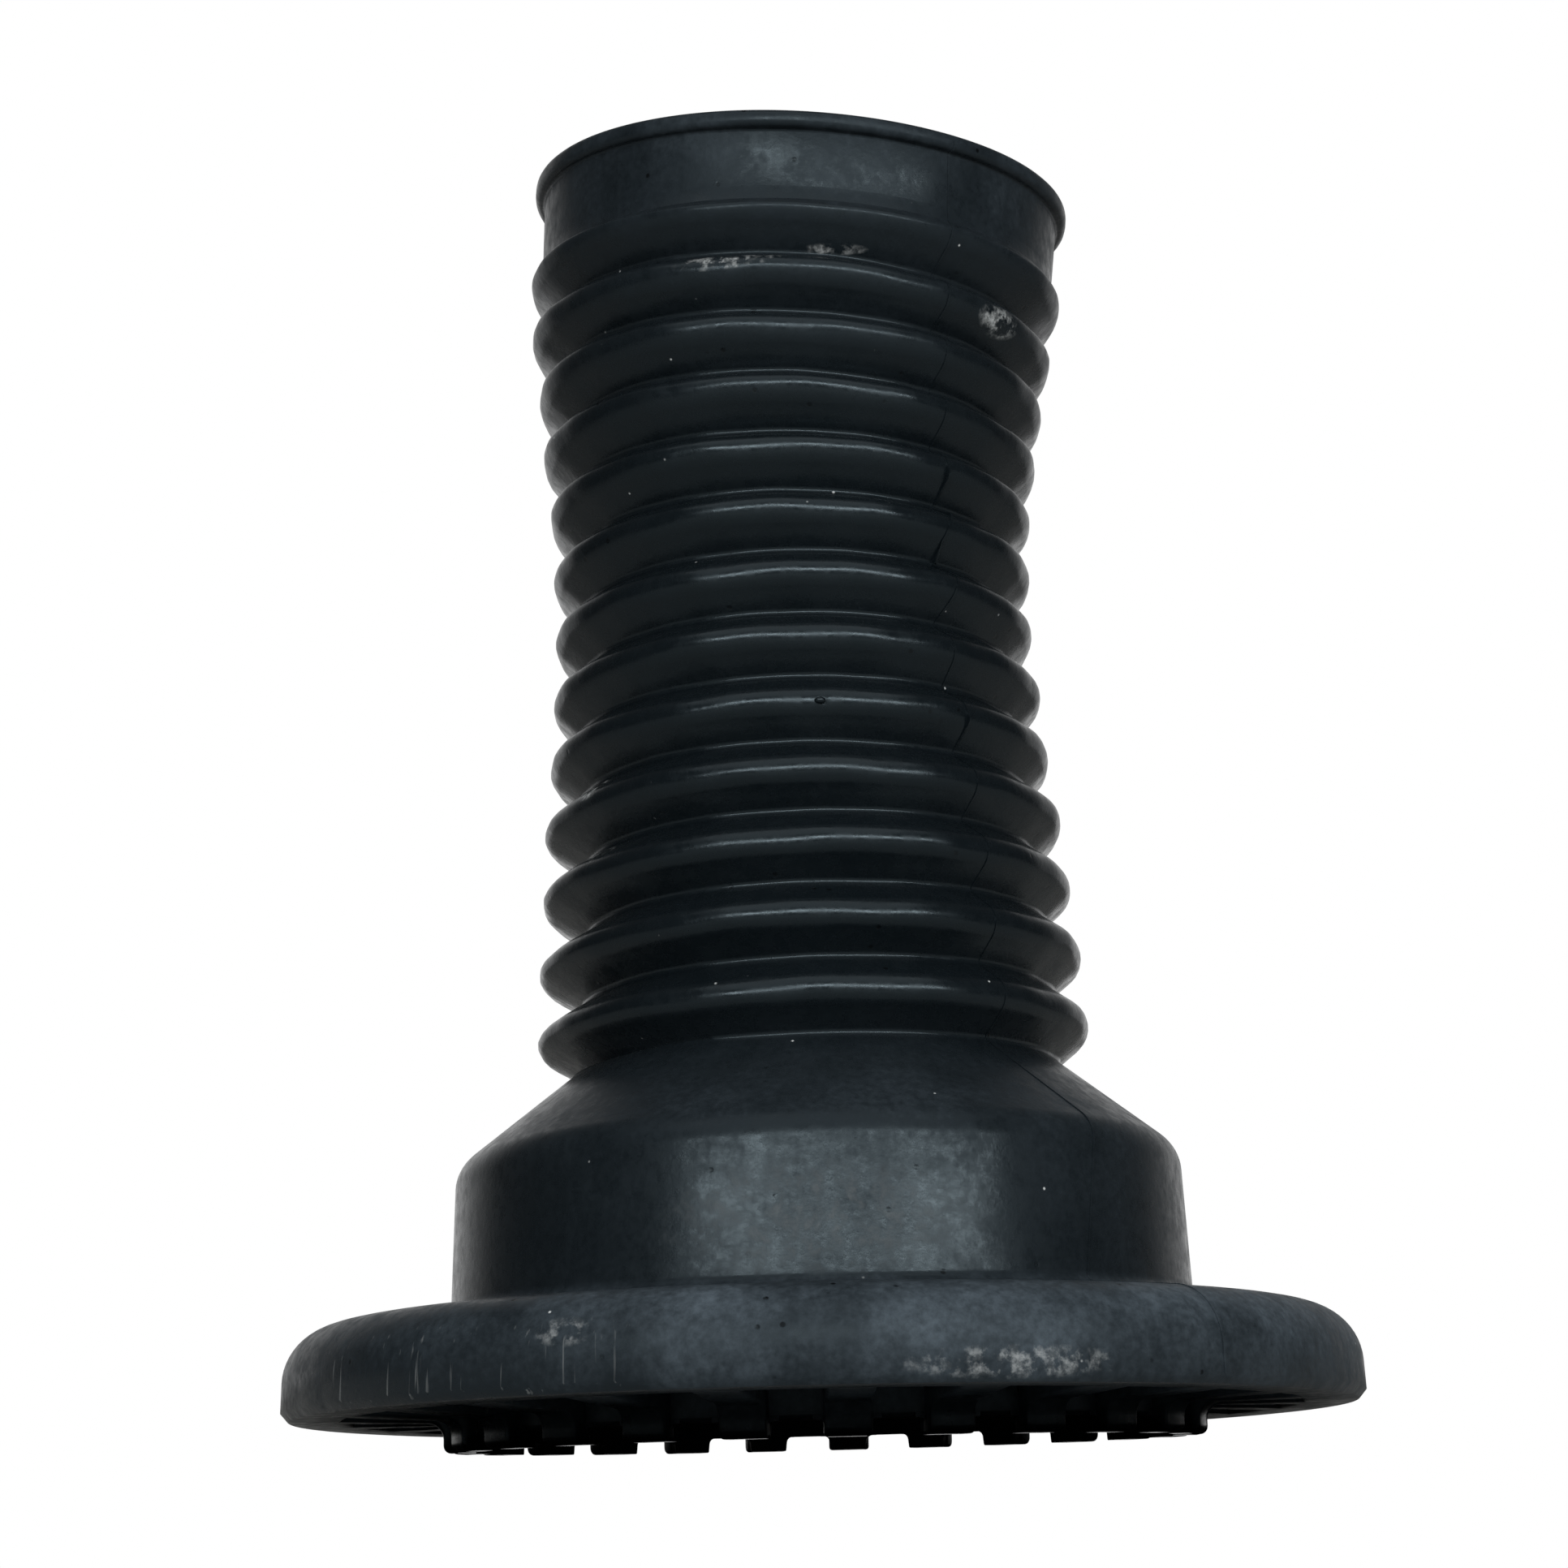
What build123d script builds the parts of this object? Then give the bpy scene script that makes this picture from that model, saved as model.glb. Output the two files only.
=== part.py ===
from build123d import *
from math import atan2, cos, radians, tan
import os

# Rubber bellows boot, one moulding, standing on the lugs of its seat ring. Millimetres, axis on Z, lug bottoms at Z 0.

# Flange, with its flat land underneath
FLANGE_D = 154.0
RIM_WIDTH = 8.7  # from the trough under the flange out to the widest line of the rim
PARTING_HEIGHT = 1.3  # from the land up to the widest line of the rim
PARTING_INSET = 1.1  # the land's outer corner lies this far inside the rim
FLANGE_HEIGHT = 12.0  # from the land up to where the rim and the sloped top would meet
TOP_SLOPE = 8.0  # degrees
SHOULDER_R = 8.0

# Cup above the flange, and the cone that leads to the bellows
CUP_D = 106.6
CUP_WALL = 3.5
CUP_FOOT_BEVEL = 1.2
CUP_CORNER_R = 5.5
CONE_SLOPE = 37.0  # degrees

# Bellows, numbered from the bottom
CONVOLUTIONS = 13
FIRST_CREST = 54.1  # above the land
FIRST_PITCH = 10.56
LAST_PITCH = 8.80
WAIST_HEIGHT = 119.0  # above the land
WAIST_D = 72.2  # across the crests at the narrowest place
LOWER_END_D = 81.0  # across the lowest crest
UPPER_CREST_REACH = 1.4  # the highest crest stands out this far from the collar
LOWER_BEND = 0.5  # how suddenly the crests widen below the waist, small is sudden
UPPER_BEND = 1.5
WAIST_DEPTH = 4.3  # of a valley below its crests
END_DEPTH = 5.0
CREST_R = 3.2
WALL = 2.0
INNER_SIDES = 32  # the hidden inside of the bellows is a many-sided hollow
INNER_LEDGE = 0.3  # the hollow's top is this much wider than the collar's bore

# Collar and its rolled lip
COLLAR_D = 79.4
COLLAR_HEIGHT = 9.6  # from the last valley to the underside of the lip
COLLAR_WALL = 2.6
LIP_REACH = 1.8  # the lip stands out this far from the collar
LIP_THICKNESS = 3.0
LIP_BEVEL = 0.9

# Seat ring under the cup, and the ribs that cross the trough round it
RIB_COUNT = 25
RIB_WIDTH = 6.2
RIB_PHASE = 2.8  # degrees between the front and the nearest rib
RIB_REACH = 2.0  # where a rib runs down the ring it stands out this far
RIB_ELBOW = 1.6  # bevel in the elbow of the rib
RIB_ROOT = 1.5  # a rib reaches this far into the rubber round the trough
RING_WALL = 2.6
LAND_ABOVE_LUGS = 4.2
LUG_HEIGHT = 2.2
LUG_TAPER = 10.0  # degrees
TROUGH_DEPTH = 8.0

# Narrow flats that round a corner
CREST_FLAT_COUNT = 3
SHOULDER_FLAT_COUNT = 3
CUP_CORNER_FLAT_COUNT = 2


def crest_height(number):
    """Height of a crest above the land, with the pitch falling evenly from the first to the last."""
    step = (LAST_PITCH - FIRST_PITCH) / (CONVOLUTIONS - 2)
    return FIRST_CREST + number * FIRST_PITCH + step * number * (number - 1) / 2


def flare(height):
    """0 at the waist and 1 at either end of the bellows."""
    below = height < WAIST_HEIGHT
    end = FIRST_CREST if below else crest_height(CONVOLUTIONS - 1)
    bend = LOWER_BEND if below else UPPER_BEND
    share = (height - WAIST_HEIGHT) / (end - WAIST_HEIGHT)
    return (1 + bend) * share**2 / (bend + share**2)


def crest_radius(height):
    end = LOWER_END_D if height < WAIST_HEIGHT else COLLAR_D + 2 * UPPER_CREST_REACH
    return (WAIST_D + (end - WAIST_D) * flare(height)) / 2


def valley_radius(height):
    return crest_radius(height) - WAIST_DEPTH - (END_DEPTH - WAIST_DEPTH) * flare(height)


def sharp_tip(radius, below, above, run):
    """Where the two flanks of a crest would meet, and their mean angle to the axis."""
    tip = radius
    for _ in range(30):
        low, high = atan2(tip - below, run), atan2(tip - above, run)
        tip = radius + CREST_R * (cos((low - high) / 2) / cos((low + high) / 2) - 1)
    return tip, (low + high) / 2


def eased(before, corner, after, radius, flats):
    """The points that replace a corner, on an arc that touches both of its sides."""
    arrive = (Vector(*corner) - Vector(*before)).normalized()
    leave = (Vector(*after) - Vector(*corner)).normalized()
    turn = arrive.get_signed_angle(leave, Vector(0, 0, 1))
    start = Vector(*corner) - arrive * radius * tan(radians(abs(turn) / 2))
    centre = start + arrive.rotate(Axis.Z, 90 if turn > 0 else -90) * radius
    return [centre + (start - centre).rotate(Axis.Z, turn * i / flats) for i in range(flats + 1)]


land = LAND_ABOVE_LUGS
flange_r = FLANGE_D / 2
cup_r = CUP_D / 2
bore_r = cup_r - CUP_WALL
ring_r = bore_r + RING_WALL
ring_middle = (bore_r + ring_r) / 2
rib_face_r = ring_r + RIB_REACH
trough_r = flange_r - RIM_WIDTH
collar_r = COLLAR_D / 2
lip_r = collar_r + LIP_REACH
trough_top = land + TROUGH_DEPTH

crests = [crest_height(i) for i in range(CONVOLUTIONS)]
valleys = [FIRST_CREST - FIRST_PITCH / 2]
valleys += [(low + high) / 2 for low, high in zip(crests, crests[1:])]
valleys += [crests[-1] + LAST_PITCH / 2]
valley_radii = [valley_radius(height) for height in valleys]
valley_radii[0] = valley_radius(FIRST_CREST)
valley_radii[-1] = collar_r

# Outer line of the bellows and inner line of its hollow, as radius and height above the lug bottoms
bellows_outer = [(valley_radii[0], land + valleys[0])]
bellows_inner = []
for i, height in enumerate(crests):
    run = (valleys[i + 1] - valleys[i]) / 2
    tip_r, slant = sharp_tip(crest_radius(height), valley_radii[i], valley_radii[i + 1], run)
    inset = WALL / cos(slant)
    tip = (tip_r, land + height)
    below = (valley_radii[i], land + valleys[i])
    above = (valley_radii[i + 1], land + valleys[i + 1])
    bellows_outer += [*eased(below, tip, above, CREST_R, CREST_FLAT_COUNT), above]
    bellows_inner += [(below[0] - inset, below[1]), (tip[0] - inset, tip[1])]

bellows_inner.append((collar_r - COLLAR_WALL + INNER_LEDGE, land + valleys[-1]))
core_r = min(radius for radius, height in bellows_inner) / 2

rim_foot = (flange_r, land + PARTING_HEIGHT)
rim_top = (flange_r, land + FLANGE_HEIGHT)
cup_foot = rim_top[1] + (flange_r - cup_r) * tan(radians(TOP_SLOPE))
foot_out = (cup_r + CUP_FOOT_BEVEL, cup_foot)
foot_up = (cup_r, cup_foot + CUP_FOOT_BEVEL)
cone_top = bellows_outer[0]
cup_top = (cup_r, cone_top[1] - (cup_r - cone_top[0]) * tan(radians(CONE_SLOPE)))
lip_bottom = land + valleys[-1] + COLLAR_HEIGHT
lip_top = lip_bottom + LIP_THICKNESS
lug_length = rib_face_r - bore_r

cup_ceiling = cup_top[1] - (cup_r - bore_r) / 2
cone_slope = (bellows_inner[0][1] - cup_ceiling) / (bore_r - bellows_inner[0][0])

outer = [
    rim_foot,
    *eased(rim_foot, rim_top, foot_out, SHOULDER_R, SHOULDER_FLAT_COUNT),
    foot_out,
    foot_up,
    *eased(foot_up, cup_top, cone_top, CUP_CORNER_R, CUP_CORNER_FLAT_COUNT),
    *bellows_outer,
    (collar_r, lip_bottom),
    (lip_r - LIP_BEVEL, lip_bottom),
    (lip_r, lip_bottom + LIP_BEVEL),
    (lip_r, lip_top - LIP_BEVEL),
    (lip_r - LIP_BEVEL, lip_top),
]
inner = [
    (bore_r, LUG_HEIGHT),
    (bore_r, cup_ceiling),
    (core_r, cup_ceiling + (bore_r - core_r) * cone_slope),
    (core_r, land + crests[-1]),
    (collar_r - COLLAR_WALL, land + crests[-1]),
    (collar_r - COLLAR_WALL, lip_top),
]
underside = [
    (ring_r, LUG_HEIGHT),
    (ring_r, trough_top),
    (trough_r, trough_top),
    (trough_r, land),
    (flange_r - PARTING_INSET, land),
]

with BuildPart() as boot:
    with BuildSketch(Plane.XZ):
        with BuildLine():
            Polyline(*outer, *reversed(inner), *underside, close=True)
        make_face()
    revolve(axis=Axis.Z)

levels = [
    [Vector(radius, 0, height).rotate(Axis.Z, 360 * i / INNER_SIDES) for i in range(INNER_SIDES)]
    for radius, height in bellows_inner
]
hollow_faces = [Face(Wire.make_polygon(levels[0])), Face(Wire.make_polygon(levels[-1]))]
for low, high in zip(levels, levels[1:]):
    for i in range(INNER_SIDES):
        hollow_faces.append(Face(Wire.make_polygon([low[i - 1], low[i], high[i], high[i - 1]])))
hollow = Solid(Shell(hollow_faces))

with BuildPart() as rib:
    with BuildSketch(Plane.XZ):
        with BuildLine():
            Polyline(
                (ring_middle, LUG_HEIGHT),
                (rib_face_r, LUG_HEIGHT),
                (rib_face_r, land - RIB_ELBOW),
                (rib_face_r + RIB_ELBOW, land),
                (trough_r + RIB_ROOT, land),
                (trough_r + RIB_ROOT, trough_top + RIB_ROOT),
                (ring_middle, trough_top + RIB_ROOT),
                close=True,
            )
        make_face()
    extrude(amount=RIB_WIDTH / 2, both=True)
    with BuildSketch(Plane.XY.offset(LUG_HEIGHT)):
        with Locations((bore_r + lug_length / 2, 0)):
            Rectangle(lug_length, RIB_WIDTH)
    extrude(amount=-LUG_HEIGHT, taper=LUG_TAPER)

spokes = PolarLocations(0, RIB_COUNT, start_angle=-90 + RIB_PHASE)
bellows_boot = boot.part - hollow + [place * rib.part for place in spokes]

os.makedirs("parts", exist_ok=True)
export_step(bellows_boot, "parts/bellows_boot.step")
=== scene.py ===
import bpy
import numpy as np
from math import atan2, cos, pi, radians, tan
from mathutils import Matrix, Vector


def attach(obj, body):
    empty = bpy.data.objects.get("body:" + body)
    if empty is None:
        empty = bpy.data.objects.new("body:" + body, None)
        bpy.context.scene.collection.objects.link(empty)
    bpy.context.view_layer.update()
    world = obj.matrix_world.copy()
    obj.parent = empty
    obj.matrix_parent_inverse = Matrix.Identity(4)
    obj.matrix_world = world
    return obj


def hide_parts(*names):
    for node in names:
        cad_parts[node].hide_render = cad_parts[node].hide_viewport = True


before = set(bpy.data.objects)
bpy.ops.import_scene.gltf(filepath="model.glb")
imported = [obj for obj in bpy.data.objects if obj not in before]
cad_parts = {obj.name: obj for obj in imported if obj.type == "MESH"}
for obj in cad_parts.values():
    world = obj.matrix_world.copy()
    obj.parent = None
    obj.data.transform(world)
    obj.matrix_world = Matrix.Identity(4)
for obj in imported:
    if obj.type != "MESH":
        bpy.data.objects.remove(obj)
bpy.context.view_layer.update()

MM = 0.001

# Boot body: flange, cup, cone, thirteen convolutions and collar, moulded in black rubber as one piece.
# Its outer and inner outline is drawn once, point by point, and spun round the axis. All sizes are in
# millimetres above the lug bottoms, and the rubber has since taken a slight set to one side.
LAND = 4.2  # flat underside of the flange
FLANGE_R = 77.0
CUP_R = 53.3
BORE_R = 49.8
RING_R = 52.4
TROUGH_R = 68.3
TROUGH_TOP = LAND + 8.0
FLANGE_TOP = LAND + 12.0
TOP_SLOPE = radians(8)
LUG_HEIGHT = 2.2
CONVOLUTIONS = 13
FIRST_CREST = 54.1
FIRST_PITCH = 10.56
LAST_PITCH = 8.80
WAIST_HEIGHT = 119.0
WAIST_R = 36.1
LOWER_END_R = 40.5
UPPER_END_R = 41.1
WAIST_DEPTH = 4.3
END_DEPTH = 5.0
CREST_ROUND = 2.8
VALLEY_ROUND = 0.7
WALL = 2.0
COLLAR_R = 39.7
COLLAR_WALL = 2.6
COLLAR_HEIGHT = 9.6
LIP_R = 41.5
LIP_THICKNESS = 3.0
SPIN_STEPS = 256


def crest_height(number):
    step = (LAST_PITCH - FIRST_PITCH) / (CONVOLUTIONS - 2)
    return FIRST_CREST + number * FIRST_PITCH + step * number * (number - 1) / 2


def flare(height):
    """0 at the bellows' waist and 1 at either end."""
    below = height < WAIST_HEIGHT
    end = FIRST_CREST if below else crest_height(CONVOLUTIONS - 1)
    bend = 0.5 if below else 1.5
    share = (height - WAIST_HEIGHT) / (end - WAIST_HEIGHT)
    return (1 + bend) * share**2 / (bend + share**2)


def crest_radius(height):
    end = LOWER_END_R if height < WAIST_HEIGHT else UPPER_END_R
    return WAIST_R + (end - WAIST_R) * flare(height)


def valley_radius(height):
    return crest_radius(height) - WAIST_DEPTH - (END_DEPTH - WAIST_DEPTH) * flare(height)


def sharp_tip(radius, below, above, run):
    """Where the two flanks of a crest would meet, and their mean angle to the axis."""
    tip = radius
    for _ in range(30):
        low, high = atan2(tip - below, run), atan2(tip - above, run)
        tip = radius + CREST_ROUND * (cos((low - high) / 2) / cos((low + high) / 2) - 1)
    return tip, (low + high) / 2


def rounded(corners):
    """Corners as (radius, height, rounding, steps) turned into points, with an arc in place of each rounded corner."""
    points = [corners[0][:2]]
    for before, corner, after in zip(corners, corners[1:], corners[2:]):
        here = Vector(corner[:2])
        if not corner[2]:
            points.append(tuple(here))
            continue
        arrive = (here - Vector(before[:2])).normalized()
        leave = (Vector(after[:2]) - here).normalized()
        turn = arrive.angle_signed(leave)
        start = here - arrive * corner[2] * tan(abs(turn) / 2)
        side = Vector((-arrive.y, arrive.x)) * (-1 if turn > 0 else 1)
        centre = start + side * corner[2]
        for i in range(corner[3] + 1):
            spoke = start - centre
            spoke.rotate(Matrix.Rotation(-turn * i / corner[3], 2))
            points.append(tuple(centre + spoke))
    return points + [corners[-1][:2]]


crests = [crest_height(i) for i in range(CONVOLUTIONS)]
valleys = [FIRST_CREST - FIRST_PITCH / 2]
valleys += [(low + high) / 2 for low, high in zip(crests, crests[1:])]
valleys += [crests[-1] + LAST_PITCH / 2]
valley_radii = [valley_radius(h) for h in valleys]
valley_radii[0], valley_radii[-1] = valley_radius(FIRST_CREST), COLLAR_R
lip_bottom = LAND + valleys[-1] + COLLAR_HEIGHT
lip_top = lip_bottom + LIP_THICKNESS
cup_top = LAND + valleys[0] - (CUP_R - valley_radii[0]) * tan(radians(37))
cup_foot = FLANGE_TOP + (FLANGE_R - CUP_R) * tan(TOP_SLOPE)

outer = [(TROUGH_R, TROUGH_TOP, 0, 0), (TROUGH_R, LAND, 0.6, 3), (FLANGE_R - 1.1, LAND, 0.5, 3)]
outer += [(FLANGE_R, LAND + 1.3, 0, 0), (FLANGE_R - 0.4, FLANGE_TOP, 8.0, 12), (CUP_R, cup_foot, 1.4, 5)]
outer += [(CUP_R - 0.8, cup_top, 5.5, 8), (valley_radii[0], LAND + valleys[0], VALLEY_ROUND, 3)]
inner = [(valley_radii[0] - WALL / cos(radians(53)), LAND + valleys[0], 2.7, 4)]
for i, height in enumerate(crests):
    run = (valleys[i + 1] - valleys[i]) / 2
    tip, slant = sharp_tip(crest_radius(height), valley_radii[i], valley_radii[i + 1], run)
    above = LAND + valleys[i + 1]
    outer += [(tip, LAND + height, CREST_ROUND, 7), (valley_radii[i + 1], above, VALLEY_ROUND, 3)]
    inner += [(tip - WALL / cos(slant), LAND + height, 0.8, 3)]
    inner += [(valley_radii[i + 1] - WALL / cos(slant), above, 2.7, 4)]
outer += [(COLLAR_R + 0.3, lip_bottom, 0.5, 3), (LIP_R, lip_bottom, 1.0, 4), (LIP_R, lip_top, 1.2, 5)]
inner[-1] = (COLLAR_R - COLLAR_WALL, LAND + valleys[-1], 2.0, 4)
inner += [(COLLAR_R - COLLAR_WALL, lip_top, 0.8, 3)]
bore = [(BORE_R, LAND + 6.0, 0, 0), (BORE_R, cup_top - 2.4, 3.0, 6)]
hidden_ring = [(BORE_R + 0.4, LAND + 6.0, 0, 0), (BORE_R + 0.4, LAND, 0, 0), (RING_R - 0.4, LAND, 0, 0)]
hidden_ring += [(RING_R - 0.4, TROUGH_TOP, 0, 0), (TROUGH_R, TROUGH_TOP, 0, 0)]
section = rounded(outer + inner[::-1] + bore[::-1] + hidden_ring)


def start_vertex(name, radius, height):
    """One vertex at a radius and height, in edit mode, ready to be extruded into an outline."""
    bpy.ops.object.select_all(action="DESELECT")
    bpy.ops.mesh.primitive_plane_add(size=MM, location=(0, 0, 0))
    piece = bpy.context.object
    piece.name = piece.data.name = name
    bpy.ops.object.mode_set(mode="EDIT")
    bpy.ops.mesh.merge(type="CENTER")
    bpy.ops.mesh.select_all(action="SELECT")
    bpy.ops.transform.translate(value=(radius * MM, 0, height * MM))
    return piece


def spin_section(name, points, steps):
    """A closed outline, extruded point by point and spun once round the axis."""
    piece = start_vertex(name, *points[0])
    for (r0, z0), (r1, z1) in zip(points, points[1:]):
        bpy.ops.mesh.extrude_vertices_move(
            TRANSFORM_OT_translate={"value": ((r1 - r0) * MM, 0, (z1 - z0) * MM)}
        )
    bpy.ops.mesh.select_all(action="SELECT")
    bpy.ops.mesh.spin(steps=steps, angle=2 * pi, center=(0, 0, 0), axis=(0, 0, 1))
    bpy.ops.mesh.select_all(action="SELECT")
    bpy.ops.mesh.remove_doubles(threshold=0.01 * MM)
    bpy.ops.mesh.normals_make_consistent(inside=False)
    bpy.ops.object.mode_set(mode="OBJECT")
    bpy.ops.object.shade_smooth_by_angle(angle=radians(50))
    return piece


LEAN_START = 10.0
LEAN_SPAN = 36.0
LEAN_SIDE = -0.0047
LEAN_BACK = 0.0366
WARP_FRONT = 0.019
WARP_SIDE = -0.003
WARP_SHIFT = -0.25
TILT_HEIGHTS = [48, 64, 90, 110, 128, 145, 166, 175]
TILTS = [0, 0.010, 0.026, 0.014, 0.013, 0.025, 0.023, 0]
SHIFT_HEIGHTS = [14, 60, 110, 134, 164, 174]
SHIFTS = [0, 0, -0.05, -0.3, -0.3, 0.2]
SET_START = 46.0
SET_SPAN = 140.0
SET_SIDE = np.array([-12.35, 20.40, -6.07])
SET_BACK = np.array([4.62, 1.88, -6.73])
# each valley has settled lower than the middle between its crests, and the lowest ones are pulled in at the left
KNOTS = sorted([(height, 0) for height in crests] + [(height, 1) for height in valleys])
SAG_HEIGHTS = [48.8, 90.3, 100.3, 119.9, 129.4, 138.7, 147.9, 157.0, 165.9, 174.7]
SAGS = [0, 0.25, 0.45, 0.7, 1.05, 1.3, 1.35, 1.05, 0.85, 1.8]
PULL_HEIGHTS = [40, 48, 84, 92, 100]
PULLS = [0, 2.1, 1.8, 0.5, 0]
UNEVEN = [(4, 0.31, 0.10, 0.5), (9, -0.42, 0.08, 1.9), (17, 0.55, 0.05, 3.1), (29, 0.2, 0.03, 4.4)]


def take_set(piece):
    """Bends the piece as the rubber has set: the axis bows a little, and each section stays square to it."""
    co = np.empty(len(piece.data.vertices) * 3)
    piece.data.vertices.foreach_get("co", co)
    co = co.reshape(-1, 3) / MM
    t = np.clip((co[:, 2] - LAND - SET_START) / SET_SPAN, 0, None)
    powers = np.stack([t**2, t**3, t**4])
    slopes = np.stack([2 * t, 3 * t**2, 4 * t**3]) / SET_SPAN
    u = np.clip((co[:, 2] - LAND - LEAN_START) / LEAN_SPAN, 0, 1)
    above = np.clip(co[:, 2] - LAND - LEAN_START - LEAN_SPAN, 0, None)
    lean = 3 * u**2 - 2 * u**3
    carried = LEAN_SPAN * (u**3 - u**4 / 2) + above
    side, back = SET_SIDE @ powers + LEAN_SIDE * carried, SET_BACK @ powers + LEAN_BACK * carried
    lean_side, lean_back = SET_SIDE @ slopes + LEAN_SIDE * lean, SET_BACK @ slopes + LEAN_BACK * lean
    height = co[:, 2] - lean_side * co[:, 0] - lean_back * co[:, 1]
    above_land = co[:, 2] - LAND
    height -= np.interp(above_land, TILT_HEIGHTS, TILTS) * co[:, 0]
    side += np.interp(above_land, SHIFT_HEIGHTS, SHIFTS)
    valley = np.interp(above_land, [knot[0] for knot in KNOTS], [knot[1] for knot in KNOTS])
    valley[(above_land < KNOTS[0][0]) | (above_land > KNOTS[-1][0])] = 0
    valley = 3 * valley**2 - 2 * valley**3
    height -= valley * np.interp(above_land, SAG_HEIGHTS, SAGS)
    left = np.clip(-co[:, 0] / np.hypot(co[:, 0], co[:, 1]), 0, 1) ** 2
    side += valley * left * np.interp(above_land, PULL_HEIGHTS, PULLS)
    # the flange has warped: its near side is a little high and its right side a little low
    out = np.clip((np.hypot(co[:, 0], co[:, 1]) - 54) / 14, 0, 1)
    warp = 3 * out**2 - 2 * out**3
    height += warp * (WARP_FRONT * -co[:, 1] + WARP_SIDE * co[:, 0])
    side += warp * WARP_SHIFT
    # the walls of the bellows are a little uneven round the part
    around = np.arctan2(co[:, 1], co[:, 0])
    uneven = sum(size * np.sin(waves * around + rise * above_land + start) for waves, rise, size, start in UNEVEN)
    uneven *= np.interp(above_land, [44, 54, 168, 176], [0, 1, 1, 0]) / np.hypot(co[:, 0], co[:, 1])
    side += uneven * co[:, 0]
    back += uneven * co[:, 1]
    moved = np.stack([co[:, 0] + side, co[:, 1] + back, height], axis=1)
    piece.data.vertices.foreach_set("co", (moved * MM).ravel())
    piece.data.update()


body = spin_section("boot_body", section, SPIN_STEPS)

# Mould flash: where the halves of the mould met, a thin line of rubber runs up both sides of the boot. It was
# trimmed by hand and left a few nubs, and the boot has twisted a little since, so the line wanders.
FLASH_WIDTH = 0.3
FLASH_HEIGHT = 0.12
FLASH_ROOT = 0.5
FLASH_LEVELS = [5, 20, 39, 46, 54, 60, 98, 113, 122, 125, 131, 137, 173, 190]
FLASH_AZIMUTHS = [41, 41, 45, 46, 41, 41, 40, 38, 42, 38, 41, 39, 34.5, 33]
NUBS = [(137, 0.6), (131, 0.4), (124.5, 0.6), (98.5, 0.5), (8.5, 0.4)]  # height and how far each stands out


def beside(points, out):
    """An outline moved square to itself, by a distance that may change with the height."""
    moved = []
    for i, (r, z) in enumerate(points):
        before, after = points[max(i - 1, 0)], points[min(i + 1, len(points) - 1)]
        along = Vector((after[0] - before[0], after[1] - before[1])).normalized()
        moved.append((r + along.y * out(z), z - along.x * out(z)))
    return moved


def extrude_section(name, points, width):
    """A closed outline in the radial plane, filled and given a width across it."""
    piece = start_vertex(name, *points[0])
    for (r0, z0), (r1, z1) in zip(points, points[1:]):
        bpy.ops.mesh.extrude_vertices_move(
            TRANSFORM_OT_translate={"value": ((r1 - r0) * MM, 0, (z1 - z0) * MM)}
        )
    bpy.ops.mesh.select_all(action="SELECT")
    bpy.ops.mesh.remove_doubles(threshold=0.01 * MM)
    bpy.ops.mesh.edge_face_add()
    bpy.ops.transform.translate(value=(0, -width / 2 * MM, 0))
    bpy.ops.mesh.extrude_region_move(TRANSFORM_OT_translate={"value": (0, width * MM, 0)})
    bpy.ops.mesh.select_all(action="SELECT")
    bpy.ops.mesh.normals_make_consistent(inside=False)
    bpy.ops.object.mode_set(mode="OBJECT")
    return piece


def flash_height(z):
    return FLASH_HEIGHT + sum(out * np.exp(-(((z - level) / 0.9) ** 2)) for level, out in NUBS)


flash_line = rounded(outer[3:-1] + [(LIP_R, lip_top - 1.3, 0, 0)])
flash_loop = beside(flash_line, flash_height) + beside(flash_line, lambda z: -FLASH_ROOT)[::-1]
halves = []
for turn in (-90, 90):
    flash = extrude_section("mould_flash", flash_loop + flash_loop[:1], FLASH_WIDTH)
    co = np.empty(len(flash.data.vertices) * 3)
    flash.data.vertices.foreach_get("co", co)
    co = co.reshape(-1, 3)
    angle = np.radians(turn + np.interp(co[:, 2] / MM, FLASH_LEVELS, FLASH_AZIMUTHS))
    x = co[:, 0] * np.cos(angle) - co[:, 1] * np.sin(angle)
    y = co[:, 0] * np.sin(angle) + co[:, 1] * np.cos(angle)
    flash.data.vertices.foreach_set("co", np.stack([x, y, co[:, 2]], axis=1).ravel())
    halves.append(flash)
bpy.ops.object.select_all(action="DESELECT")
for piece in (*halves, body):
    piece.select_set(True)
bpy.context.view_layer.objects.active = body
bpy.ops.object.join()
take_set(body)

# Blow holes: air that was trapped in the mould left oval pits, up to 3 mm across, in the cone and the bellows.
PITS = [((8.4, -43.2, 43.5), 0.8, 0.8), ((-10.0, -35.0, 50.0), 1.6, 0.7), ((25.1, -28.8, 48.5), 1.5, 0.8)]
PITS += [((19.3, -40.2, 43.0), 1.4, 0.7), ((8.4, -34.3, 82.0), 1.3, 0.6), ((2.0, -36.5, 101.0), 0.8, 0.5)]
cutters = []
for near, half_width, half_height in PITS:
    found, surface, normal, face = body.closest_point_on_mesh(Vector(near) * MM)
    bpy.ops.object.select_all(action="DESELECT")
    bpy.ops.mesh.primitive_uv_sphere_add(segments=20, ring_count=12, radius=MM, location=surface)
    cutter = bpy.context.object
    cutter.rotation_euler = normal.to_track_quat("Z", "Y").to_euler()
    cutter.scale = (half_width, half_height, 0.55)
    bpy.ops.object.transform_apply(location=True, rotation=True, scale=True)
    cutters.append(cutter)
bpy.ops.object.select_all(action="DESELECT")
for cutter in cutters:
    cutter.select_set(True)
bpy.ops.object.join()
pits = bpy.context.object
cut = body.modifiers.new("blow_holes", "BOOLEAN")
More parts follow.
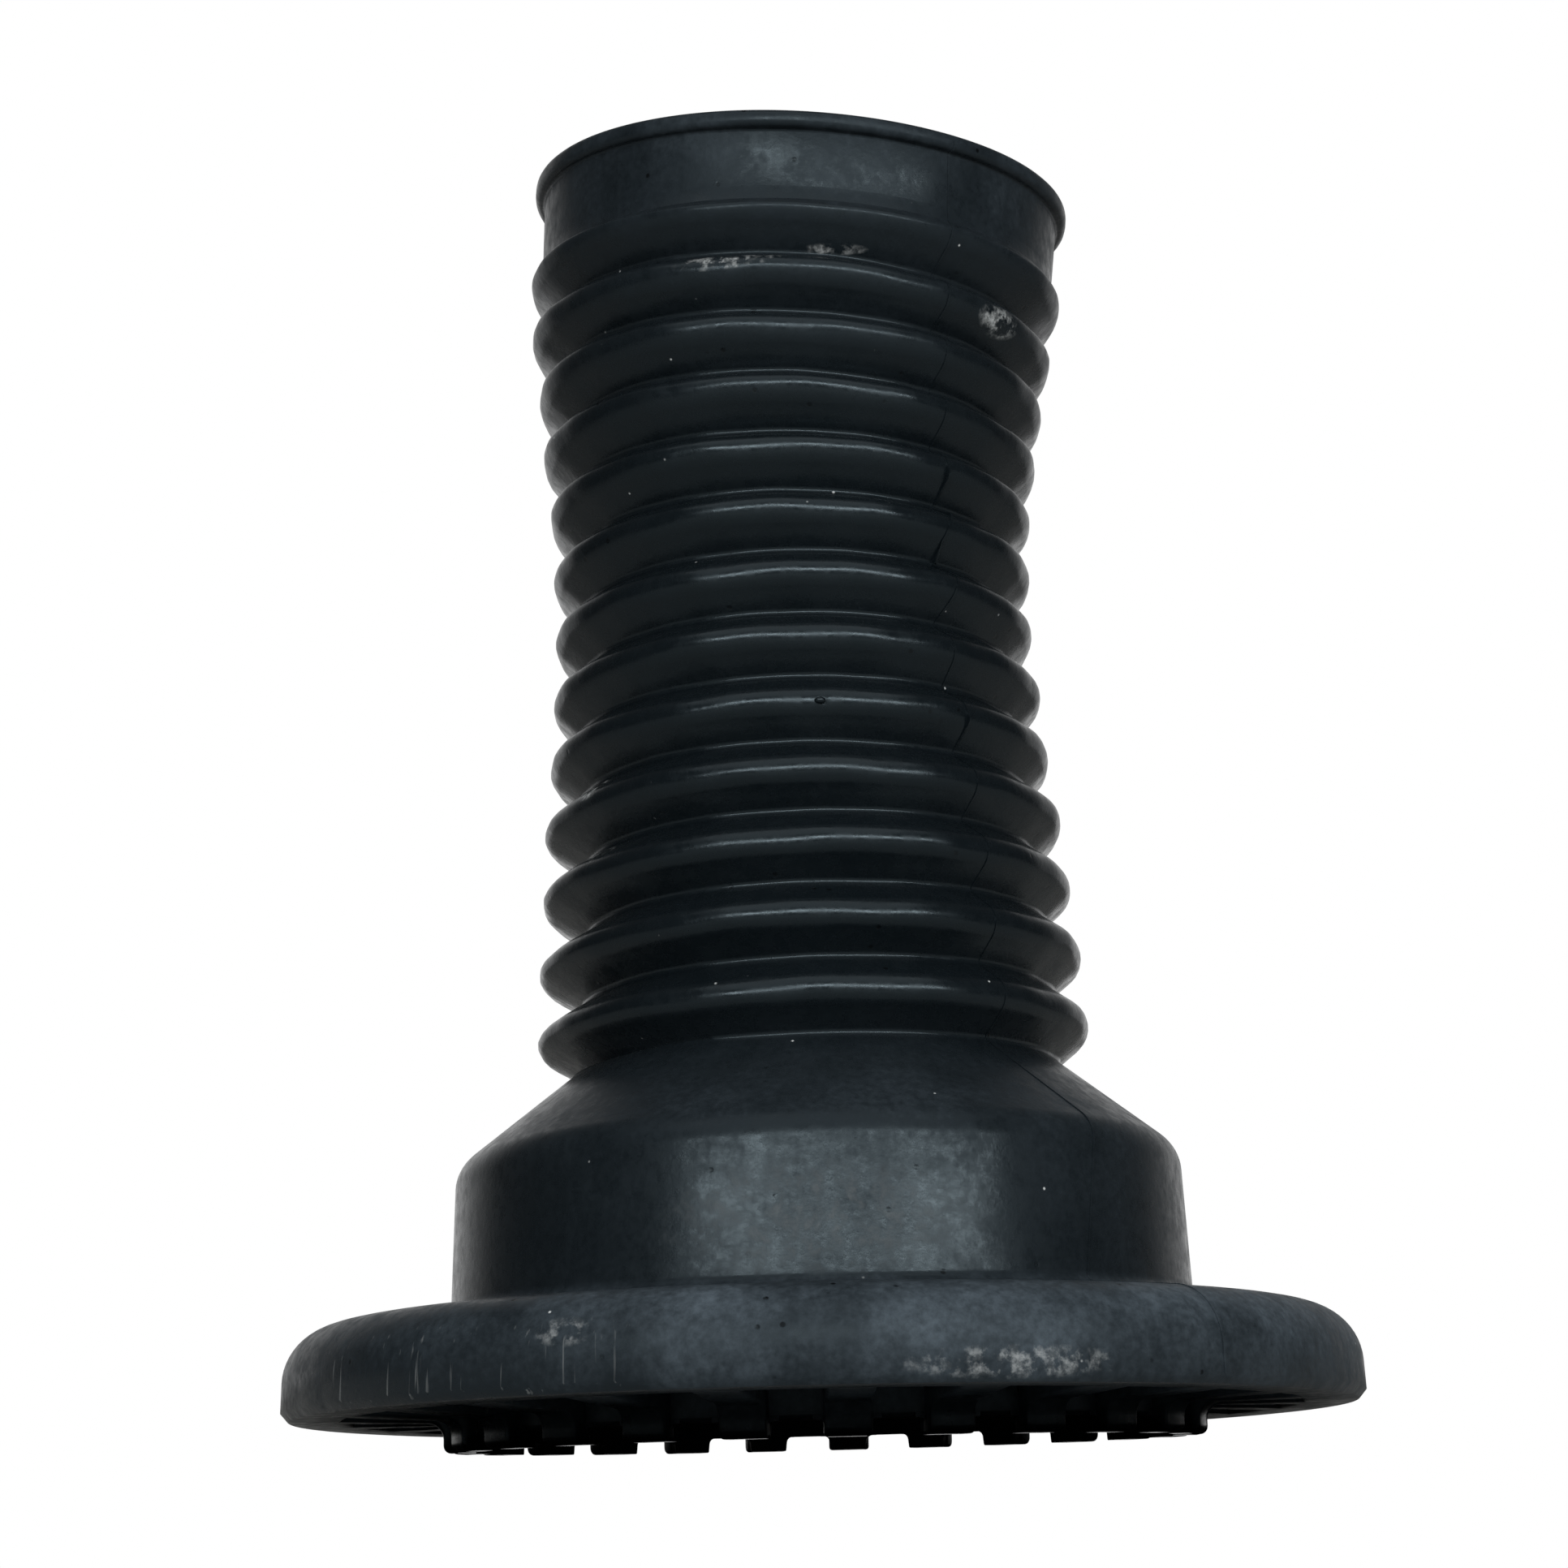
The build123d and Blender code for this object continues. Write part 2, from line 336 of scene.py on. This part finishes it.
cut.operation, cut.solver, cut.object = "DIFFERENCE", "FAST", pits
bpy.ops.object.select_all(action="DESELECT")
body.select_set(True)
bpy.context.view_layer.objects.active = body
bpy.ops.object.modifier_apply(modifier=cut.name)
bpy.data.objects.remove(pits)
bpy.ops.object.shade_smooth_by_angle(angle=radians(50))

# Black rubber: satin, faintly blue, with road dust lying on the cup, the rim and the collar, chalky scuffs where it
# was handled, two painted glints in valleys at the left, grains of sand and small blow holes with painted shade in
# them. Its pattern sizes are in millimetres of the part.
def linear(hex_colour):
    """An sRGB hex colour as linear red, green, blue and alpha."""
    parts = [int(hex_colour[i : i + 2], 16) / 255 for i in (1, 3, 5)]
    return (*[c / 12.92 if c <= 0.04045 else ((c + 0.055) / 1.055) ** 2.4 for c in parts], 1.0)


def add(tree, kind, inputs, **settings):
    """A node with its settings, each of its inputs set to a value or joined to another node's output."""
    node = tree.nodes.new("ShaderNode" + kind)
    for key, value in settings.items():
        setattr(node, key, value)
    for socket, value in inputs.items():
        if isinstance(value, bpy.types.NodeSocket):
            tree.links.new(value, node.inputs[socket])
        else:
            node.inputs[socket].default_value = value
    return node.outputs["Result"] if kind in ("MapRange",) else node.outputs[0]


rubber = bpy.data.materials.new("black_rubber")
rubber.use_nodes = True
tree = rubber.node_tree
shader = tree.nodes["Principled BSDF"]
place = tree.nodes.new("ShaderNodeTexCoord").outputs["Object"]
place_mm = add(tree, "VectorMath", {0: place, 1: (1000, 1000, 1000)}, operation="MULTIPLY")
split = tree.nodes.new("ShaderNodeSeparateXYZ")
tree.links.new(place_mm, split.inputs[0])
blotches = add(tree, "TexNoise", {"Vector": place_mm, "Scale": 1 / 14, "Detail": 6, "Roughness": 0.62})
grain = add(tree, "TexNoise", {"Vector": place_mm, "Scale": 1 / 1.1, "Detail": 3, "Roughness": 0.6})
smears = add(tree, "VectorMath", {0: place_mm, 1: (1.0, 1.0, 0.16)}, operation="MULTIPLY")
smears = add(tree, "TexNoise", {"Vector": smears, "Scale": 1 / 3.0, "Detail": 4, "Roughness": 0.6})

# how dusty each height is, from the flange up to the collar
DUST_BY_HEIGHT = [(0, 0.06), (5, 0.24), (12, 0.42), (17, 0.55), (21, 0.08), (36, 0.09), (44, 0.14), (52, 0.05)]
DUST_BY_HEIGHT += [(60, 0.015), (140, 0.015), (168, 0.06), (180, 0.14), (196, 0.2)]
level = add(tree, "MapRange", {"Value": split.outputs["Z"], 1: 0.0, 2: 200.0, 3: 0.0, 4: 1.0})
ramp = tree.nodes.new("ShaderNodeValToRGB")
tree.links.new(level, ramp.inputs[0])
while len(ramp.color_ramp.elements) < len(DUST_BY_HEIGHT):
    ramp.color_ramp.elements.new(0.5)
for stop, (height, share) in zip(ramp.color_ramp.elements, DUST_BY_HEIGHT):
    stop.position = height / 200
for stop, (height, share) in zip(ramp.color_ramp.elements, DUST_BY_HEIGHT):
    stop.color = (share, share, share, 1)
patchy = add(tree, "MapRange", {"Value": blotches, 1: 0.36, 2: 0.66, 3: 0.45, 4: 1.25})
streaky = add(tree, "MapRange", {"Value": smears, 1: 0.35, 2: 0.7, 3: 0.85, 4: 1.1})
speckled = add(tree, "MapRange", {"Value": grain, 1: 0.3, 2: 0.7, 3: 0.6, 4: 1.2})
# darker towards the left: the mask fades from full strength at x = -12 mm to 0.4 at x = -48 mm
from_left = add(tree, "MapRange", {"Value": split.outputs["X"], 1: -48.0, 2: -12.0, 3: 0.4, 4: 1.0})
dust = add(tree, "Math", {0: patchy, 1: ramp.outputs[0]}, operation="MULTIPLY")
dust = add(tree, "Math", {0: dust, 1: from_left}, operation="MULTIPLY")
dust = add(tree, "Math", {0: dust, 1: streaky}, operation="MULTIPLY")
dust = add(tree, "Math", {0: dust, 1: speckled}, operation="MULTIPLY", use_clamp=True)

# chalky scuffs, and two painted glints where valleys at the left catch the light: middle of each, its half sizes, and
# how strong it is
SCUFFS_AND_GLINTS = [((22.8, -72.2, 8.0), (17, 12, 2.2), 0.4), ((-31.3, -67.1, 13.0), (5, 5, 2.2), 0.45)]
SCUFFS_AND_GLINTS += [((29.7, -17.3, 162.5), (4, 7, 2.2), 0.8), ((-9.3, -31.5, 167.5), (9, 6, 1.5), 0.7)]
# these two are painted glints, not scuffs: bright spots where two valleys at the left catch the light
SCUFFS_AND_GLINTS += [((-30.9, -18.4, 93.0), (3, 4, 2.5), 1.0), ((-30.3, -20.6, 83.0), (3, 4, 2.0), 1.0)]
SCUFFS_AND_GLINTS += [((6.0, -33.0, 169.6), (6, 6, 0.8), 0.6), ((-1.4, -53.1, 28.0), (24, 12, 8.0), 0.07)]
chalk_and_glints = 0.0
for middle, half, strength in SCUFFS_AND_GLINTS:
    away = add(tree, "VectorMath", {0: place_mm, 1: middle}, operation="SUBTRACT")
    away = add(tree, "VectorMath", {0: away, 1: half}, operation="DIVIDE")
    away = add(tree, "VectorMath", {0: away, 1: away}, operation="DOT_PRODUCT")
    tree_away = tree.nodes[-1].outputs["Value"]
    near = add(tree, "MapRange", {"Value": tree_away, 1: 1.0, 2: 0.1, 3: 0.0, 4: strength})
    chalk_and_glints = add(tree, "Math", {0: chalk_and_glints, 1: near}, operation="MAXIMUM")
flakes = add(tree, "TexNoise", {"Vector": place_mm, "Scale": 1 / 2.4, "Detail": 4, "Roughness": 0.65})
torn = add(tree, "MapRange", {"Value": flakes, 1: 0.47, 2: 0.6, 3: 0.0, 4: 1.0})
flecked = add(tree, "MapRange", {"Value": grain, 1: 0.42, 2: 0.6, 3: 0.2, 4: 1.0})
chalk_and_glints = add(tree, "Math", {0: chalk_and_glints, 1: torn}, operation="MULTIPLY")
chalk_and_glints = add(tree, "Math", {0: chalk_and_glints, 1: flecked}, operation="MULTIPLY")

# grains of sand, about 0.3 mm across, in some places only
cells = tree.nodes.new("ShaderNodeTexVoronoi")
tree.links.new(place_mm, cells.inputs["Vector"])
cells.inputs["Scale"].default_value = 1 / 5.5
sand = add(tree, "MapRange", {"Value": cells.outputs["Distance"], 1: 0.045, 2: 0.02, 3: 0.0, 4: 0.85})
sandy = add(tree, "MapRange", {"Value": blotches, 1: 0.5, 2: 0.56, 3: 0.0, 4: 1.0})
sand = add(tree, "Math", {0: sand, 1: sandy}, operation="MULTIPLY")
pale_marks_and_glints = add(tree, "Math", {0: chalk_and_glints, 1: sand}, operation="MAXIMUM")

# scratches that run up the left front of the rim
strokes = add(tree, "VectorMath", {0: place_mm, 1: (1.1, 1.1, 0.07)}, operation="MULTIPLY")
strokes = add(tree, "TexNoise", {"Vector": strokes, "Scale": 1.0, "Detail": 2, "Roughness": 0.5})
strokes = add(tree, "MapRange", {"Value": strokes, 1: 0.66, 2: 0.74, 3: 0.0, 4: 0.15})
on_rim = add(tree, "MapRange", {"Value": split.outputs["Z"], 1: 15.5, 2: 13.0, 3: 0.0, 4: 1.0})
at_left = add(tree, "MapRange", {"Value": split.outputs["X"], 1: -22.0, 2: -30.0, 3: 0.0, 4: 1.0})
in_front = add(tree, "MapRange", {"Value": split.outputs["Y"], 1: -30.0, 2: -42.0, 3: 0.0, 4: 1.0})
for region in (on_rim, at_left, in_front):
    strokes = add(tree, "Math", {0: strokes, 1: region}, operation="MULTIPLY")
pale_marks_and_glints = add(tree, "Math", {0: pale_marks_and_glints, 1: strokes}, operation="MAXIMUM")

# small blow holes in the skin of the rubber, sunk by the bump, with painted shade darkening them
pores = tree.nodes.new("ShaderNodeTexVoronoi")
shifted = add(tree, "VectorMath", {0: place_mm, 1: (37.0, 11.0, 23.0)}, operation="ADD")
tree.links.new(shifted, pores.inputs["Vector"])
pores.inputs["Scale"].default_value = 1 / 4.2
pore_and_painted_shade = add(tree, "MapRange", {"Value": pores.outputs["Distance"], 1: 0.11, 2: 0.06, 3: 0.0, 4: 1.0})
few = add(tree, "MapRange", {"Value": blotches, 1: 0.49, 2: 0.44, 3: 0.0, 4: 1.0})
pore_and_painted_shade = add(tree, "Math", {0: pore_and_painted_shade, 1: few}, operation="MULTIPLY")

# the pale colour serves the scuffs, sand and scratches, and also the painted glints
clean, dusty, pale_and_glint_colour = linear("#080d10"), linear("#525c64"), linear("#b4b8b8")
colour = tree.nodes.new("ShaderNodeMix")
colour.data_type = "RGBA"
tree.links.new(dust, colour.inputs["Factor"])
colour.inputs[6].default_value, colour.inputs[7].default_value = clean, dusty
marks_and_glints = tree.nodes.new("ShaderNodeMix")
marks_and_glints.data_type = "RGBA"
tree.links.new(pale_marks_and_glints, marks_and_glints.inputs["Factor"])
tree.links.new(colour.outputs[2], marks_and_glints.inputs[6])
marks_and_glints.inputs[7].default_value = pale_and_glint_colour
# painted shade: the pores are darkened to near black
painted_pore_shade = tree.nodes.new("ShaderNodeMix")
painted_pore_shade.data_type = "RGBA"
tree.links.new(pore_and_painted_shade, painted_pore_shade.inputs["Factor"])
tree.links.new(marks_and_glints.outputs[2], painted_pore_shade.inputs[6])
painted_pore_shade.inputs[7].default_value = linear("#040506")
tree.links.new(painted_pore_shade.outputs[2], shader.inputs["Base Color"])
satin = add(tree, "MapRange", {"Value": dust, 1: 0.0, 2: 0.3, 3: 0.0, 4: 0.3})
handled = add(tree, "MapRange", {"Value": flakes, 1: 0.38, 2: 0.62, 3: 0.2, 4: 0.31})
satin = add(tree, "Math", {0: satin, 1: handled}, operation="ADD")
tree.links.new(satin, shader.inputs["Roughness"])
sheen = add(tree, "MapRange", {"Value": dust, 1: 0.0, 2: 0.1, 3: 0.3, 4: 0.1})
tree.links.new(sheen, shader.inputs["Specular IOR Level"])
shader.inputs["Specular Tint"].default_value = linear("#d6ecf6")
relief = add(tree, "Math", {0: grain, 1: pore_and_painted_shade}, operation="SUBTRACT")
bump = add(tree, "Bump", {"Height": relief, "Strength": 0.35, "Distance": 0.00008})
tree.links.new(bump, shader.inputs["Normal"])
body.data.materials.append(rubber)
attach(body, "root")
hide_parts("bellows_boot")

# Seat ring and ribs: the open-bored ring that goes into the mount, with 25 ribs that cross the trough and
# turn down over the ring to end in lugs. They are part of the same moulding.
RIB_COUNT = 25
RIB_WIDTH = 6.2
RIB_FACE_R = 54.4
RIB_PHASE = 2.8
ring_section = [(BORE_R, LAND + 6.0, 0, 0), (BORE_R, LUG_HEIGHT, 0.4, 3), (RING_R - 0.6, LUG_HEIGHT, 0.2, 2)]
ring_section += [(RING_R, LUG_HEIGHT + 0.6, 0.2, 2), (RING_R, TROUGH_TOP + 1, 0, 0), (BORE_R + 0.8, TROUGH_TOP + 1, 0, 0), (BORE_R, LAND + 6.0, 0, 0)]
ring = spin_section("seat_ring", rounded(ring_section), SPIN_STEPS)

rib_section = [(BORE_R + 1.5, TROUGH_TOP + 1, 0, 0), (BORE_R + 1.5, 0, 0, 0), (RIB_FACE_R, 0, 1.1, 5)]
rib_section += [(RIB_FACE_R, LAND, 2.2, 6), (TROUGH_R + 1.0, LAND, 0, 0), (TROUGH_R + 1.0, TROUGH_TOP + 1, 0, 0)]
rib_section += [(BORE_R + 1.5, TROUGH_TOP + 1, 0, 0)]

rib = extrude_section("rib", rounded(rib_section), RIB_WIDTH)
bevel = rib.modifiers.new("edges", "BEVEL")
bevel.width = 0.45 * MM
bevel.segments = 3
bevel.angle_limit = radians(50)
bpy.ops.object.modifier_apply(modifier=bevel.name)

lug_half = RIB_WIDTH / 2
lug_outline = [(-lug_half - 1.3, LUG_HEIGHT + 0.6, 0, 0), (-lug_half - 1.3, LUG_HEIGHT - 0.01, 0, 0)]
lug_outline += [(-lug_half + 0.1, LUG_HEIGHT - 0.01, 0.9, 5), (-lug_half + 0.35, 0, 0.25, 3)]
lug_outline += [(lug_half - 0.35, 0, 0.25, 3), (lug_half - 0.1, LUG_HEIGHT - 0.01, 0.9, 5)]
lug_outline += [(lug_half + 1.3, LUG_HEIGHT - 0.01, 0, 0), (lug_half + 1.3, LUG_HEIGHT + 0.6, 0, 0)]
lug_outline += [(-lug_half - 1.3, LUG_HEIGHT + 0.6, 0, 0)]
lug = extrude_section("lug", rounded(lug_outline), RING_R - BORE_R - 0.04)
bpy.ops.object.mode_set(mode="EDIT")
bpy.ops.mesh.select_all(action="SELECT")
bpy.ops.transform.rotate(value=pi / 2, orient_axis="Z", center_override=(0, 0, 0))
bpy.ops.transform.translate(value=((BORE_R + RING_R) / 2 * MM, 0, 0))
bpy.ops.object.mode_set(mode="OBJECT")

bpy.ops.object.select_all(action="DESELECT")
rib.select_set(True)
lug.select_set(True)
bpy.context.view_layer.objects.active = rib
bpy.ops.object.join()
bpy.ops.object.mode_set(mode="EDIT")
bpy.ops.mesh.select_all(action="SELECT")
bpy.ops.transform.rotate(value=-radians(-90 + RIB_PHASE), orient_axis="Z", center_override=(0, 0, 0))
bpy.ops.mesh.select_all(action="SELECT")
bpy.ops.mesh.spin(steps=RIB_COUNT, dupli=True, angle=2 * pi, center=(0, 0, 0), axis=(0, 0, 1))
bpy.ops.mesh.select_all(action="SELECT")
bpy.ops.mesh.remove_doubles(threshold=0.01 * MM)
bpy.ops.object.mode_set(mode="OBJECT")
bpy.ops.object.select_all(action="DESELECT")
rib.select_set(True)
ring.select_set(True)
bpy.context.view_layer.objects.active = ring
bpy.ops.object.join()
ring.name = ring.data.name = "seat_ring_and_ribs"
bpy.ops.object.shade_smooth_by_angle(angle=radians(50))
take_set(ring)
ring.data.materials.clear()
ring.data.materials.append(rubber)
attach(ring, "root")
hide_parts("bellows_boot")

# Floor: plain and pale. The camera looks from a little below it, so its underside lets the camera's rays through.
FLOOR_SIDE = 3.0
bpy.ops.object.select_all(action="DESELECT")
bpy.ops.mesh.primitive_plane_add(size=FLOOR_SIDE, location=(0, 0, 0))
floor = bpy.context.object
floor.name = floor.data.name = "floor"
pale = bpy.data.materials.new("pale_floor")
pale.use_nodes = True
pale.node_tree.nodes["Principled BSDF"].inputs["Base Color"].default_value = linear("#c6c6c3")
pale.node_tree.nodes["Principled BSDF"].inputs["Roughness"].default_value = 0.9
clear = pale.node_tree.nodes.new("ShaderNodeBsdfTransparent")
face = pale.node_tree.nodes.new("ShaderNodeNewGeometry")
path = pale.node_tree.nodes.new("ShaderNodeLightPath")
from_below = pale.node_tree.nodes.new("ShaderNodeMath")
from_below.operation = "MULTIPLY"
choose = pale.node_tree.nodes.new("ShaderNodeMixShader")
wires = pale.node_tree.links
wires.new(face.outputs["Backfacing"], from_below.inputs[0])
wires.new(path.outputs["Is Camera Ray"], from_below.inputs[1])
wires.new(from_below.outputs[0], choose.inputs[0])
wires.new(pale.node_tree.nodes["Principled BSDF"].outputs[0], choose.inputs[1])
wires.new(clear.outputs[0], choose.inputs[2])
wires.new(choose.outputs[0], pale.node_tree.nodes["Material Output"].inputs["Surface"])
floor.data.materials.append(pale)

# Camera, light and backdrop: the part hangs before a white ground and is seen from a little below it.
camera = bpy.data.objects.new("camera", bpy.data.cameras.new("camera"))
bpy.context.scene.collection.objects.link(camera)
camera.data.lens = 36 * 4000 / 1932
camera.data.clip_start = 0.02
camera.data.clip_end = 20
camera.location = (-3.0 * MM, -474.25 * MM, -8.6 * MM)
camera.rotation_euler = (radians(102.556), radians(1.458), radians(0.385))
bpy.context.scene.camera = camera

world = bpy.data.worlds.new("white_ground")
bpy.context.scene.world = world
world.use_nodes = True
nodes = world.node_tree
path = nodes.nodes.new("ShaderNodeLightPath")
toward = nodes.nodes.new("ShaderNodeSeparateXYZ")
nodes.links.new(nodes.nodes.new("ShaderNodeTexCoord").outputs["Generated"], toward.inputs[0])
behind = add(nodes, "MapRange", {"Value": toward.outputs["Y"], 1: 0.5, 2: 1.0, 3: 0.05, 4: 1.0})
reflected = add(nodes, "Math", {0: path.outputs["Is Glossy Ray"], 1: path.outputs["Is Transmission Ray"]}, operation="MAXIMUM")
reflected = add(nodes, "Math", {0: reflected, 1: behind}, operation="MULTIPLY")
strength = add(nodes, "Math", {0: path.outputs["Is Camera Ray"], 1: reflected}, operation="MAXIMUM")
strength = add(nodes, "Math", {0: strength, 1: 0.06}, operation="MAXIMUM")
nodes.nodes["Background"].inputs["Color"].default_value = (1, 1, 1, 1)
nodes.links.new(strength, nodes.nodes["Background"].inputs["Strength"])
bpy.context.scene.view_settings.view_transform = "Standard"


def softbox(name, place, aim, width, height, watts):
    """A rectangular area light at a place in metres, turned to a point."""
    lamp = bpy.data.objects.new(name, bpy.data.lights.new(name, "AREA"))
    bpy.context.scene.collection.objects.link(lamp)
    lamp.data.shape = "RECTANGLE"
    lamp.data.size, lamp.data.size_y = width, height
    lamp.data.energy = watts
    lamp.location = place
    lamp.rotation_euler = (Vector(aim) - Vector(place)).to_track_quat("-Z", "Y").to_euler()
    return lamp


softbox("top_light", (0.0, -0.45, 0.75), (0, 0, 0.1), 1.2, 0.6, 2.6)
softbox("front_strip", (0.12, -1.05, 0.4), (0, 0, 0.1), 2.2, 0.11, 19)
